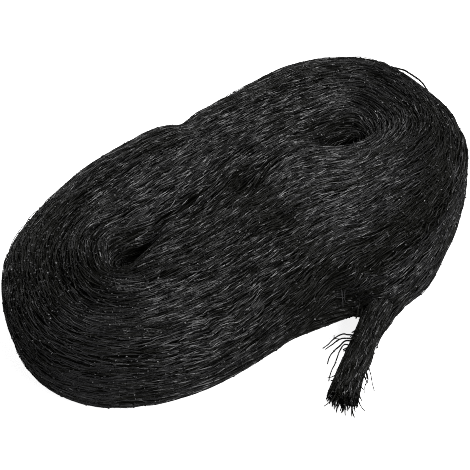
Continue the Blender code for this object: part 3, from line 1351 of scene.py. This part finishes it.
    def twist(self, rng: Random, strands: int, points: int) -> Array:
        """Turn each strand about itself, slowly and some either way.

        Args:
            rng: The source of chance.
            strands: How many strands.
            points: How many points each has.

        Returns:
            How far each is turned at each point, in radians, strands by points.
        """
        stride_mm = self.bar_mm / self.steps_in_bar
        lay = FULL_TURN * stride_mm / rng.uniform(*self.twist_mm, (strands, 1))
        lay = lay * rng.choice((-1.0, 1.0), (strands, 1))
        start = rng.uniform(0.0, FULL_TURN, (strands, 1))
        unevenness = self.wander(rng, strands, points, self.twist_wander)
        return start + lay * np.arange(points) + unevenness

    def wander(self, rng: Random, strands: int, points: int, size: float) -> Array:
        """Give each strand a slow wander.

        Args:
            rng: The source of chance.
            strands: How many strands.
            points: How many points each has.
            size: About how far it wanders.

        Returns:
            How far it has wandered at each point, strands by points.
        """
        bends = points // self.wander_steps + self.wander_spare
        rough = rng.normal(0.0, size, (strands, bends))
        place = np.linspace(0.0, bends - IN_LAST_CELL, points)
        index = place.astype(int)
        share = ease(place - index, 0.0, 1.0)
        return rough[:, index] * (1.0 - share) + rough[:, index + 1] * share

    def add_ribbon_knots(
        self,
        layer: Layer,
        mesh: TwineMesh,
        places: Array,
        normals: Array,
        step: Array,
        rubbed_and_shaded: Array,
        rng: Random,
    ) -> None:
        """Add the knots where neighbouring twines of a ribbon meet.

        Args:
            layer: The layer that the ribbon belongs to.
            mesh: The mesh that gets the knots.
            places: The strands' points, strands by points by 3.
            normals: The normals at them.
            step: Each point's place in the mesh pattern.
            rubbed_and_shaded: Where the twine takes the dull finish, for rubbing and for
                painted shade, strands by points.
            rng: The source of chance.
        """
        strands, points = places.shape[:2]
        ahead = unit(np.gradient(places, axis=1))
        rank, spot = np.meshgrid(
            np.arange(strands - 1), np.arange(1, points - 1), indexing="ij"
        )
        meet = (step[spot] + self.steps_in_bar * rank) % (2 * self.steps_in_bar) == 0
        meet &= rng.random(meet.shape) < layer.knot_share
        rank, spot = rank[meet], spot[meet]
        if not len(rank):
            return
        centres = 0.5 * (places[rank, spot] + places[rank + 1, spot])
        radii = 0.5 * self.knot_mm * MM * rng.uniform(*self.knot_size, len(rank))
        up = unit(normals[rank, spot])
        centres = centres + self.knot_lift_mm * MM * up
        way = unit(ahead[rank, spot] + ahead[rank + 1, spot])
        way = tumbled(way, self.knot_tumble, self.knot_chance)
        up = tumbled(up, self.knot_tumble, self.knot_chance)
        centres[:, 2] = np.maximum(centres[:, 2], radii)
        shades = rng.random(len(rank))
        matt = rubbed_and_shaded[rank, spot] & (rng.random(len(rank)) < self.knot_wear)
        mesh.add_knots(centres, way, up, radii, shades, matt)


@dataclass
class BunchedKnots:
    """Knots that show singly where the turns go round the ends and bunch up."""

    name: str = "bunched_knots"
    candidates: int = 16000
    knot_mm: tuple[float, float] = (1.0, 2.0)
    height_mm: tuple[float, float] = (-0.3, 0.9)
    # Greyed well over the twine's own grey: painted highlight, for the knots' sparkle.
    greyed: tuple[float, float] = (0.5, 1.0)
    tumble: float = 0.7
    shown_from: float = 0.020
    seed: int = 22

    def scatter(self, form: WoundForm, turns: TurnField) -> TwineMesh:
        """Scatter the knots over the hank's ends.

        Args:
            form: The hank's surface.
            turns: Which way the turns run.

        Returns:
            The mesh that holds them.
        """
        rng = np.random.default_rng(self.seed)
        places = form.scatter(self.candidates, rng)
        share = patched(BUNCHES, places)
        kept = (rng.random(len(places)) < share) & (places[:, 2] > self.shown_from)
        places, normals = form.project(places[kept])
        height = rng.uniform(*self.height_mm, len(places)) * MM + turns.relief(places)
        centres = places + height[:, None] * normals
        way = tumbled(turns.heading(places, normals), self.tumble, rng)
        up = tumbled(normals, self.tumble, rng)
        radii = 0.5 * rng.uniform(*self.knot_mm, len(places)) * MM
        shades = rng.uniform(*self.greyed, len(places))
        mesh = TwineMesh(self.name)
        mesh.add_knots(centres, way, up, radii, shades, np.zeros(len(places), bool))
        return mesh


# The tables of middle lines give x, y, z, half width and half height.
# The loose end, from inside the last turn to the cut.
END_ROUTE: tuple[BundleRow, ...] = (
    (0.0500, -0.1400, 0.0290, 0.0075, 0.0080),
    (0.0370, -0.1455, 0.0300, 0.0085, 0.0090),
    (0.0235, -0.1518, 0.0295, 0.0095, 0.0100),
    (0.0130, -0.1560, 0.0255, 0.0100, 0.0100),
    (0.0000, -0.1620, 0.0185, 0.0100, 0.0100),
    (-0.0140, -0.1690, 0.0125, 0.0105, 0.0100),
    (-0.0280, -0.1770, 0.0106, 0.0112, 0.0100),
    (-0.0410, -0.1855, 0.0102, 0.0120, 0.0098),
    (-0.0510, -0.1925, 0.0100, 0.0128, 0.0094),
)
# The last turn's lowest twines, from inside it to inside the loose end.
GATHER_ROUTE: tuple[BundleRow, ...] = (
    (0.0990, -0.1380, 0.0330, 0.0030, 0.0080),
    (0.0816, -0.1440, 0.0300, 0.0040, 0.0085),
    (0.0663, -0.1490, 0.0285, 0.0050, 0.0090),
    (0.0500, -0.1525, 0.0260, 0.0058, 0.0090),
    (0.0360, -0.1545, 0.0225, 0.0062, 0.0085),
    (0.0243, -0.1575, 0.0190, 0.0062, 0.0080),
    (0.0143, -0.1602, 0.0160, 0.0055, 0.0075),
    (0.0039, -0.1662, 0.0140, 0.0042, 0.0070),
    (-0.0095, -0.1762, 0.0120, 0.0030, 0.0060),
    (-0.0240, -0.1830, 0.0105, 0.0020, 0.0050),
)
# The lowest twines at the waist, from the near lobe's foot to behind the loose end.
WAIST_ROUTE: tuple[BundleRow, ...] = (
    (-0.0650, -0.1180, 0.0210, 0.0030, 0.0080),
    (-0.0480, -0.1175, 0.0190, 0.0045, 0.0085),
    (-0.0313, -0.1178, 0.0165, 0.0050, 0.0085),
    (-0.0178, -0.1205, 0.0160, 0.0050, 0.0085),
    (-0.0048, -0.1240, 0.0170, 0.0050, 0.0085),
    (0.0084, -0.1285, 0.0190, 0.0050, 0.0085),
    (0.0195, -0.1335, 0.0210, 0.0050, 0.0085),
    (0.0300, -0.1390, 0.0240, 0.0045, 0.0085),
    (0.0400, -0.1430, 0.0270, 0.0040, 0.0080),
)
# The tables of strays give each twine's thickness in mm and the places that it passes.
END_STRAYS: tuple[StrayRoute, ...] = (
    # Curls on the waist's side.
    (
        1.5,
        (0.0010, -0.1545, 0.0170),
        (-0.0025, -0.1457, 0.0125),
        (-0.0049, -0.1411, 0.0105),
        (-0.0110, -0.1383, 0.0065),
        (-0.0175, -0.1383, 0.0035),
        (-0.0230, -0.1377, 0.0020),
    ),
    (
        1.5,
        (-0.0010, -0.1555, 0.0150),
        (-0.0045, -0.1475, 0.0110),
        (-0.0086, -0.1429, 0.0085),
        (-0.0160, -0.1415, 0.0055),
        (-0.0225, -0.1405, 0.0030),
    ),
    (
        1.6,
        (-0.0030, -0.1565, 0.0130),
        (-0.0069, -0.1483, 0.0105),
        (-0.0120, -0.1470, 0.0065),
        (-0.0183, -0.1468, 0.0040),
        (-0.0243, -0.1481, 0.0022),
        (-0.0299, -0.1521, 0.0010),
    ),
    (1.0, (-0.0086, -0.1429, 0.0085), (-0.0112, -0.1392, 0.0080), (-0.0095, -0.1365, 0.0080)),
    # Twines that lie a little apart along the bundle.
    (
        1.4,
        (-0.0060, -0.1590, 0.0100),
        (-0.0091, -0.1496, 0.0085),
        (-0.0170, -0.1515, 0.0060),
        (-0.0253, -0.1566, 0.0040),
        (-0.0340, -0.1610, 0.0028),
        (-0.0411, -0.1664, 0.0020),
    ),
    (
        1.6,
        (-0.0080, -0.1600, 0.0100),
        (-0.0130, -0.1560, 0.0085),
        (-0.0220, -0.1610, 0.0060),
        (-0.0340, -0.1675, 0.0040),
        (-0.0465, -0.1745, 0.0020),
    ),
    # Wisps on the other side.
    (
        1.0,
        (-0.0060, -0.1730, 0.0120),
        (-0.0095, -0.1794, 0.0085),
        (-0.0117, -0.1849, 0.0045),
        (-0.0150, -0.1905, 0.0020),
        (-0.0180, -0.1963, 0.0010),
    ),
    (
        1.0,
        (-0.0120, -0.1780, 0.0090),
        (-0.0162, -0.1862, 0.0050),
        (-0.0212, -0.1884, 0.0025),
        (-0.0254, -0.1931, 0.0010),
    ),
    (1.0, (0.0260, -0.1600, 0.0150), (0.0170, -0.1640, 0.0090), (0.0090, -0.1680, 0.0060)),
)
# A twine that bows off the far turns, and cut ends at the waist.
FAR_STRAYS: tuple[StrayRoute, ...] = (
    (
        2.3,
        (0.2200, 0.0720, 0.0560),
        (0.2269, 0.0664, 0.0590),
        (0.2282, 0.0533, 0.0605),
        (0.2325, 0.0401, 0.0625),
        (0.2335, 0.0269, 0.0625),
        (0.2337, 0.0179, 0.0620),
        (0.2322, 0.0080, 0.0595),
        (0.2270, -0.0060, 0.0570),
    ),
    (1.6, (0.0150, -0.1380, 0.0350), (0.0085, -0.1435, 0.0310), (0.0050, -0.1455, 0.0275)),
    (1.6, (0.0150, -0.1420, 0.0310), (0.0085, -0.1470, 0.0265), (0.0062, -0.1483, 0.0240)),
)
# Split filaments that stand off the wall at the waist.
WALL_WISPS: tuple[StrayRoute, ...] = (
    (0.8, (0.0026, -0.1282, 0.0500), (0.0030, -0.1300, 0.0400), (0.0044, -0.1300, 0.0290)),
    (0.6, (0.0056, -0.1292, 0.0480), (0.0044, -0.1308, 0.0405), (0.0062, -0.1312, 0.0340)),
)


@dataclass
class WoundNetting:
    """The hank: its heart and the layers of net over it."""

    node: str = "hank"
    heart_name: str = "packed_turns"
    top_inset_mm: float = 3.8
    side_inset_mm: float = 2.0
    # How far the surface faces up where the top's inset sets in and is whole.
    top_facing: tuple[float, float] = (0.2, 0.7)
    foot_mm: float = 0.3
    # The radius at which an angle round the hank becomes a distance along the turns.
    mean_radius: float = 0.2
    knots: BunchedKnots = field(default_factory=BunchedKnots)
    layers: tuple[Layer, ...] = (
        # name, seed, metres, height_mm, and what differs from most layers
        Layer("lower_turns", 11, 90.0, (-2.6, -1.8), (5, 9), length_mm=(120, 300), thick=1.15),
        Layer("middle_turns", 12, 125.0, (-1.9, -1.0), thick=1.1),
        Layer("upper_turns", 47, 125.0, (-1.1, -0.3), knot_share=0.6),
        Layer(
            "outer_turns", 18, 130.0, (-0.3, 0.5), (3, 7), (1.1, 1.8),
            lean_deg=3.5, knot_share=1.0,
        ),
        Layer(
            "crossing_twines", 14, 14.0, (0.0, 1.2), (1, 2), (1.5, 2.5), (60, 200),
            lean_deg=8.0, knot_share=0.8,
        ),
        Layer(
            "underside_turns", 15, 55.0, (-1.2, 0.0), (4, 8), (1.5, 2.2), (120, 260),
            lean_deg=4.0, knot_share=0.4, side=Side.UNDER,
        ),
    )

    def build(self, finish: TwineFinish, packed: Material) -> None:
        """Build the heart and the layers, and tie them to the frame.

        Args:
            finish: The finish of the net's twine.
            packed: The finish of the turns underneath.
        """
        form = WoundForm(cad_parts[self.node])
        turns = TurnField(form)
        self.build_heart(form, turns, packed)
        laying = NetLaying(form, turns)
        for layer in self.layers:
            mesh = TwineMesh(layer.name)
            LOG.info("%s: %.1f m", layer.name, laying.lay(layer, mesh))
            mesh.build(finish)
        self.knots.scatter(form, turns).build(finish)

    def build_heart(self, form: WoundForm, turns: TurnField, packed: Material) -> None:
        """Build the dark form under the net.

        Args:
            form: The hank's surface.
            turns: Which way the turns run.
            packed: Its finish.
        """
        mesh = form.mesh
        mesh.name = self.heart_name
        hollow = patched(HOLLOWS, form.places)
        facing = ease(form.normals[:, 2], *self.top_facing)
        inset = self.side_inset_mm + facing * (self.top_inset_mm - self.side_inset_mm)
        depth = (inset + facing * hollow) * MM
        inner = form.places - depth[:, None] * form.normals
        inner[:, 2] = np.maximum(inner[:, 2], self.foot_mm * MM)
        mesh.vertices.foreach_set("co", inner.astype(np.float32).reshape(-1))
        along = self.mean_radius * np.arctan2(form.places[:, 1], form.places[:, 0])
        place = np.stack((along, turns.across(form.places), form.places[:, 2]), axis=-1)
        attribute = mesh.attributes.new("turn_place", "FLOAT_VECTOR", "POINT")
        attribute.data.foreach_set("vector", place.astype(np.float32).reshape(-1))
        mesh.materials.clear()
        mesh.materials.append(packed)
        mesh.shade_smooth()
        mesh.update()
        heart = add_piece(self.heart_name, mesh)
        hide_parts(self.node)


@dataclass(frozen=True)
class TwineBundle:
    """Twines that run side by side along one middle line, thin over a thick core."""

    name: str
    route: tuple[BundleRow, ...]
    twines: int
    core_twines: int
    seed: int
    frayed: bool = False
    twine_mm: float = 0.75
    core_mm: float = 2.6
    core_share: float = 0.78
    knot_mm: float = 1.7
    steps: int = 5
    sway: float = 0.025
    zigzag: float = 0.07
    core_zigzag: float = 0.3
    zigzag_steps: int = 8
    golden_angle: float = 2.39996
    # At a frayed end: how uneven the clumps are cut, how many there are round it,
    # how much shorter the core is, and where and how far the twines splay.
    clump_steps: float = 1.2
    clumps: float = 3.0
    core_cut_steps: int = 3
    splay_from: float = -4.0
    splay: float = 0.03
    twist: float = 0.2
    greyed: float = 0.5
    # The share of the twines that takes the dull finish: on the waist's side, as painted shade
    # on that shaded side of the bundle, and elsewhere at random.
    waist_side: float = -0.1
    waist_side_rubbed_and_shaded: float = 0.85
    outer_rubbed: float = 0.35
    first_knot: tuple[int, int] = (2, 8)
    knot_steps: int = 7

    def middle(self) -> Array:
        """Give the rows filled in along a smooth curve."""
        return smooth_rows(np.array(self.route), self.steps)

    def build(self, finish: TwineFinish) -> bpy.types.Object:
        """Build the bundle as a piece of its own.

        Args:
            finish: The finish of its twine.

        Returns:
            The piece.
        """
        rng = np.random.default_rng(self.seed)
        mesh = TwineMesh(self.name, sides=4)
        rows = self.middle()
        for place in range(self.core_twines):
            share = self.core_share * math.sqrt((place + 0.5) / self.core_twines)
            self.add_twine(mesh, rows, share, place, self.core_mm, rng)
        for place in range(self.twines):
            share = math.sqrt(rng.uniform(self.core_share**2, 1.0))
            self.add_twine(mesh, rows, share, place, self.twine_mm, rng)
        return mesh.build(finish)

    def add_twine(
        self,
        mesh: TwineMesh,
        rows: Array,
        share: float,
        place: int,
        thick_mm: float,
        rng: Random,
    ) -> None:
        """Add one twine and its knots.

        Args:
            mesh: Where the twine is added.
            rows: The middle line with the half width and half height.
            share: How far out of the middle the twine lies, 0 to 1.
            place: Its number, which settles the side on which it lies.
            thick_mm: How thick it is.
            rng: The source of chance.
        """
        angle = self.golden_angle * place
        points = len(rows)
        fine = thick_mm < self.core_mm
        wide, high = self.offsets(share, angle, fine, points, rng)
        cut = 0
        if self.frayed:
            clump = self.clump_steps + self.clump_steps * math.sin(self.clumps * angle)
            cut = int(clump + rng.integers(0, 2)) + (0 if fine else self.core_cut_steps)
            flare = np.linspace(self.splay_from, 1.0, points).clip(0.0, 1.0)
            wide = wide + flare * rng.normal(0.0, self.splay)
        ahead, side = ahead_and_side(rows[:, :3])
        up = np.cross(ahead, side)
        path = rows[:, :3] + (wide * rows[:, 3])[:, None] * side
        path += (high * rows[:, 4])[:, None] * up
        path = path[: points - cut]
        length = len(path)
        normal = unit(math.cos(angle) * side + math.sin(angle) * up)[:length]
        turn = rng.uniform(*ANY_TURN) + self.twist * np.arange(length)
        # The thick core twines get no grey and always the dull finish, painted shade inside
        # the bundle; on the waist's side the dull finish is painted shade.
        shade = self.greyed * rng.random() if fine else 0.0
        worn = self.waist_side_rubbed_and_shaded if wide[0] < self.waist_side else self.outer_rubbed
        matt = not fine or rng.random() < worn
        path = mesh.add_twine(path, normal, 0.5 * thick_mm * MM, 1.0, turn, shade, matt)
        first = int(rng.integers(*self.first_knot))
        spots = np.arange(first, length - 1, self.knot_steps)
        if fine and len(spots):
            knots = np.full(len(spots), 0.5 * self.knot_mm * MM)
            shades = self.greyed * rng.random(len(spots))
            matt_knots = np.full(len(spots), matt)
            mesh.add_knots(path[spots], ahead[spots], normal[spots], knots, shades, matt_knots)

    def offsets(
        self,
        share: float,
        angle: float,
        fine: bool,
        points: int,
        rng: Random,
    ) -> tuple[Array, Array]:
        """Choose how a twine strays as it runs along the middle line.

        Args:
            share: How far out of the middle the twine lies, 0 to 1.
            angle: On which side it lies, in radians.
            fine: Whether it is one of the thin ones.
            points: How many points it has.
            rng: The source of chance.

        Returns:
            How far off the middle line it lies at each point, sideways and upwards,
            as shares of the half width and the half height.
        """
        sway = np.cumsum(rng.normal(0.0, self.sway, (2, points)), axis=1)
        swing = FULL_TURN * np.arange(points) / self.zigzag_steps
        swing = self.zigzag * np.sin(swing + rng.uniform(*ANY_TURN))
        swing = swing * (1.0 if fine else self.core_zigzag)
        wide = share * math.cos(angle) + sway[0] + swing
        high = share * math.sin(angle) + sway[1]
        size = np.maximum(np.hypot(wide, high), 1.0)
        return wide / size, high / size


@dataclass(frozen=True)
class Fuzz:
    """Short cut twines that stand off a bundle's side, and splay out at its cut end."""

    name: str = "loose_end_fuzz"
    side_hairs: int = 90
    end_hairs: int = 70
    hair_mm: tuple[float, float] = (1.0, 1.6)
    side_length_mm: tuple[float, float] = (4.0, 9.0)
    end_length_mm: tuple[float, float] = (6.0, 10.5)
    # How far out of the middle the hairs start: at the cut end, and at the side.
    end_depth: tuple[float, float] = (0.2, 0.95)
    side_depth: float = 0.95
    # How far off the way ahead they lean.
    end_splay: tuple[float, float] = (0.0, 0.15)
    side_splay: tuple[float, float] = (0.2, 0.8)
    # How many of the middle line's rows before its last one they start; the side's
    # hairs start no earlier than a third of the way along.
    end_rows: tuple[int, int] = (2, 5)
    last_side_row: int = 3
    side_parts: int = 3
    bend: float = 0.15
    tip_share: float = 0.7
    twist: float = 0.3
    greyed: float = 0.5
    rubbed_share: float = 0.6
    points: int = 5
    seed: int = 34

    def build(self, bundle: TwineBundle, finish: TwineFinish) -> bpy.types.Object:
        """Build the hairs as one piece.

        Args:
            bundle: The bundle that they come out of.
            finish: The finish of its twine.

        Returns:
            The piece.
        """
        rng = np.random.default_rng(self.seed)
        rows = bundle.middle()
        ahead, side = ahead_and_side(rows[:, :3])
        mesh = TwineMesh(self.name, sides=5)
        last = len(rows) - 1
        for hair in range(self.side_hairs + self.end_hairs):
            at_end = hair >= self.side_hairs
            spot = last - int(rng.integers(*self.end_rows))
            if not at_end:
                first = last // self.side_parts
                spot = int(rng.integers(first, last - self.last_side_row))
            angle = rng.uniform(0.0, FULL_TURN)
            share = rng.uniform(*self.end_depth) if at_end else self.side_depth
            off = rows[spot, 3] * math.cos(angle) * side[spot]
            off = off + np.array((0.0, 0.0, rows[spot, 4] * math.sin(angle)))
            outward = unit(off[None])[0]
            span = self.end_length_mm if at_end else self.side_length_mm
            length = rng.uniform(*span) * MM
            splay = rng.uniform(*(self.end_splay if at_end else self.side_splay))
            bend = rng.normal(0.0, self.bend, 3)
            along = np.linspace(0.0, 1.0, self.points)[:, None]
            way = ahead[spot] + splay * outward * along + bend * along
            path = rows[spot, :3] + share * off + length * along * way
            thick = 0.5 * rng.uniform(*self.hair_mm) * MM
            turn = rng.uniform(*ANY_TURN) + self.twist * np.arange(self.points)
            shade = self.greyed * rng.random()
            matt = rng.random() < self.rubbed_share
            mesh.add_twine(path, outward, thick, self.tip_share, turn, shade, matt)
        return mesh.build(finish)


@dataclass(frozen=True)
class StrayTwines:
    """Single twines that have come away, each along a given line."""

    name: str
    routes: tuple[StrayRoute, ...]
    steps: int = 5
    tip_share: float = 0.7
    knot_share: float = 1.35
    # Where along a twine its knot lies: three fifths of the way.
    knot_place: tuple[int, int] = (3, 5)
    twist: float = 0.3
    greyed: float = 0.5

    def build(self, finish: TwineFinish) -> bpy.types.Object:
        """Build the twines as one piece, every second one of them on the finish's second, dull
        material.

        Args:
            finish: The finish of its twine.

        Returns:
            The piece.
        """
        mesh = TwineMesh(self.name, sides=5)
        for number, (thick_mm, *route) in enumerate(self.routes):
            path = smooth_rows(np.array(route), self.steps)
            thick = 0.5 * thick_mm * MM
            turn = self.twist * np.arange(len(path))
            shade = self.greyed
            matt = number % 2 == 1
            path = mesh.add_twine(path, UP, thick, self.tip_share, turn, shade, matt)
            part, parts = self.knot_place
            spot = [len(path) * part // parts]
            ahead, _ = ahead_and_side(path)
            knot = np.array([self.knot_share * thick])
            shades, matts = np.array([shade]), np.array([matt])
            mesh.add_knots(path[spot], ahead[spot], np.array([UP]), knot, shades, matts)
        return mesh.build(finish)


@dataclass(frozen=True)
class LooseEnd:
    """The rope's cut end: a bundle of twines that comes down to the ground.

    The last turn's twines turn down into it where it leaves the hank, and a few
    single twines have come away from it.
    """

    node: str = "loose_end"
    exit_point: Place = (0.0235, -0.1518, 0.0295)
    diameter: float = 0.0195
    bundle: TwineBundle = TwineBundle(
        "loose_end_twines", END_ROUTE, twines=170, core_twines=46, seed=31, frayed=True
    )
    gather: TwineBundle = TwineBundle(
        "gathered_twines", GATHER_ROUTE, twines=80, core_twines=14, seed=32
    )
    strays: StrayTwines = StrayTwines("stray_end_twines", END_STRAYS)
    fuzz: Fuzz = Fuzz()

    def build(self, finish: TwineFinish) -> None:
        """Args:
            finish: The finish of the net's twine.
        """
        piece = self.bundle.build(finish)
        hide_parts(self.node)
        strays = self.strays.build(finish)
        fuzz = self.fuzz.build(self.bundle, finish)
        middle = self.bundle.middle()[:, :3]
        self.gather.build(finish)


@dataclass(frozen=True)
class Softbox:
    """One square soft light that faces the hank."""

    name: str
    place: Place
    side: float
    watts: float

    def build(self, target: Vector) -> None:
        """Hang the light.

        Args:
            target: The place that it faces.
        """
        data = bpy.data.lights.new(self.name, "AREA")
        data.size = self.side
        data.energy = self.watts
        light = bpy.data.objects.new(self.name, data)
        light.location = self.place
        away = target - Vector(self.place)
        light.rotation_euler = away.to_track_quat("-Z", "Y").to_euler()
        bpy.context.scene.collection.objects.link(light)


@dataclass(frozen=True)
class Studio:
    """The white floor, the soft lights and the camera."""

    floor_side: float = 12.0
    azimuth_deg: float = -38.0
    elevation_deg: float = 46.0
    distance: float = 1.018
    target: Place = (-0.0223, -0.0178, 0.0405)
    lens_mm: float = 89.62
    sensor_mm: float = 36.0
    sky: float = 0.14
    sharpness: float = 1.0
    lights: tuple[Softbox, ...] = (
        Softbox("top_softbox", (0.73, -0.02, 1.45), side=0.5, watts=17.0),
        Softbox("front_softbox", (-0.02, -1.24, 1.07), side=0.5, watts=15.0),
        Softbox("side_softbox", (0.73, 1.28, 0.59), side=0.5, watts=3.0),
        Softbox("back_softbox", (-0.30, 1.50, 0.30), side=0.7, watts=6.0),
    )

    def build(self, paint: Material) -> None:
        """Build the floor, lights and camera.

        Args:
            paint: The finish of the floor.
        """
        self.build_floor(paint)
        self.build_camera()
        self.build_sky()
        for light in self.lights:
            light.build(Vector(self.target))

    def build_floor(self, paint: Material) -> None:
        """Build the floor as one wide board.

        Args:
            paint: Its finish.
        """
        half = 0.5 * self.floor_side
        mesh = bpy.data.meshes.new("floor")
        corners = [(-half, -half, 0), (half, -half, 0), (half, half, 0), (-half, half, 0)]
        mesh.from_pydata(corners, [], [(0, 1, 2, 3)])
        mesh.materials.append(paint)
        floor = bpy.data.objects.new("floor", mesh)
        floor.visible_glossy = False
        bpy.context.scene.collection.objects.link(floor)

    def build_camera(self) -> None:
        """Put the camera on its bearing, looking at the hank's middle."""
        azimuth = math.radians(self.azimuth_deg)
        elevation = math.radians(self.elevation_deg)
        out = Vector(
            (
                math.sin(azimuth) * math.cos(elevation),
                -math.cos(azimuth) * math.cos(elevation),
                math.sin(elevation),
            )
        )
        data = bpy.data.cameras.new("camera")
        data.lens = self.lens_mm
        data.sensor_width = self.sensor_mm
        camera = bpy.data.objects.new("camera", data)
        camera.location = Vector(self.target) + self.distance * out
        camera.rotation_euler = (-out).to_track_quat("-Z", "Y").to_euler()
        bpy.context.scene.collection.objects.link(camera)
        bpy.context.scene.camera = camera

    def build_sky(self) -> None:
        """Give an even white light from all round, and set how the picture is made."""
        world = bpy.data.worlds.new("studio_air")
        world.use_nodes = True
        background = world.node_tree.nodes["Background"]
        background.inputs["Color"].default_value = (1.0, 1.0, 1.0, 1.0)
        background.inputs["Strength"].default_value = self.sky
        bpy.context.scene.world = world
        bpy.context.scene.view_settings.view_transform = "Standard"
        bpy.context.scene.cycles.use_denoising = False
        bpy.context.scene.cycles.filter_width = self.sharpness


def main() -> None:
    """Build every piece in order."""
    logging.basicConfig(level=logging.INFO, format="%(name)s: %(message)s")
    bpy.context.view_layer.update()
    twine = PolyethyleneTwine().build()
    rubbed_and_shaded = RubbedAndShadedTwine().build()
    pale = PaleTwine().build()
    packed = PackedTwine().build()
    Studio().build(PaintedBoard().build())
    net_finish = TwineFinish(twine, rubbed_and_shaded)
    # The dull, olive finish all over, whose olive tint is painted shade, for the waist's
    # lowest twines and the stray twines.
    matt_and_shaded_finish = TwineFinish(rubbed_and_shaded, rubbed_and_shaded)
    LooseEnd().build(net_finish)
    WoundNetting().build(net_finish, packed)
    waist = TwineBundle("waist_twines", WAIST_ROUTE, twines=100, core_twines=16, seed=33)
    waist.build(matt_and_shaded_finish)
    StrayTwines("stray_turn_twines", FAR_STRAYS).build(matt_and_shaded_finish)
    # The wisps take the pale finish: painted light.
    StrayTwines("stray_wisps", WALL_WISPS).build(TwineFinish(pale, pale))


if __name__ == "__main__":
    main()
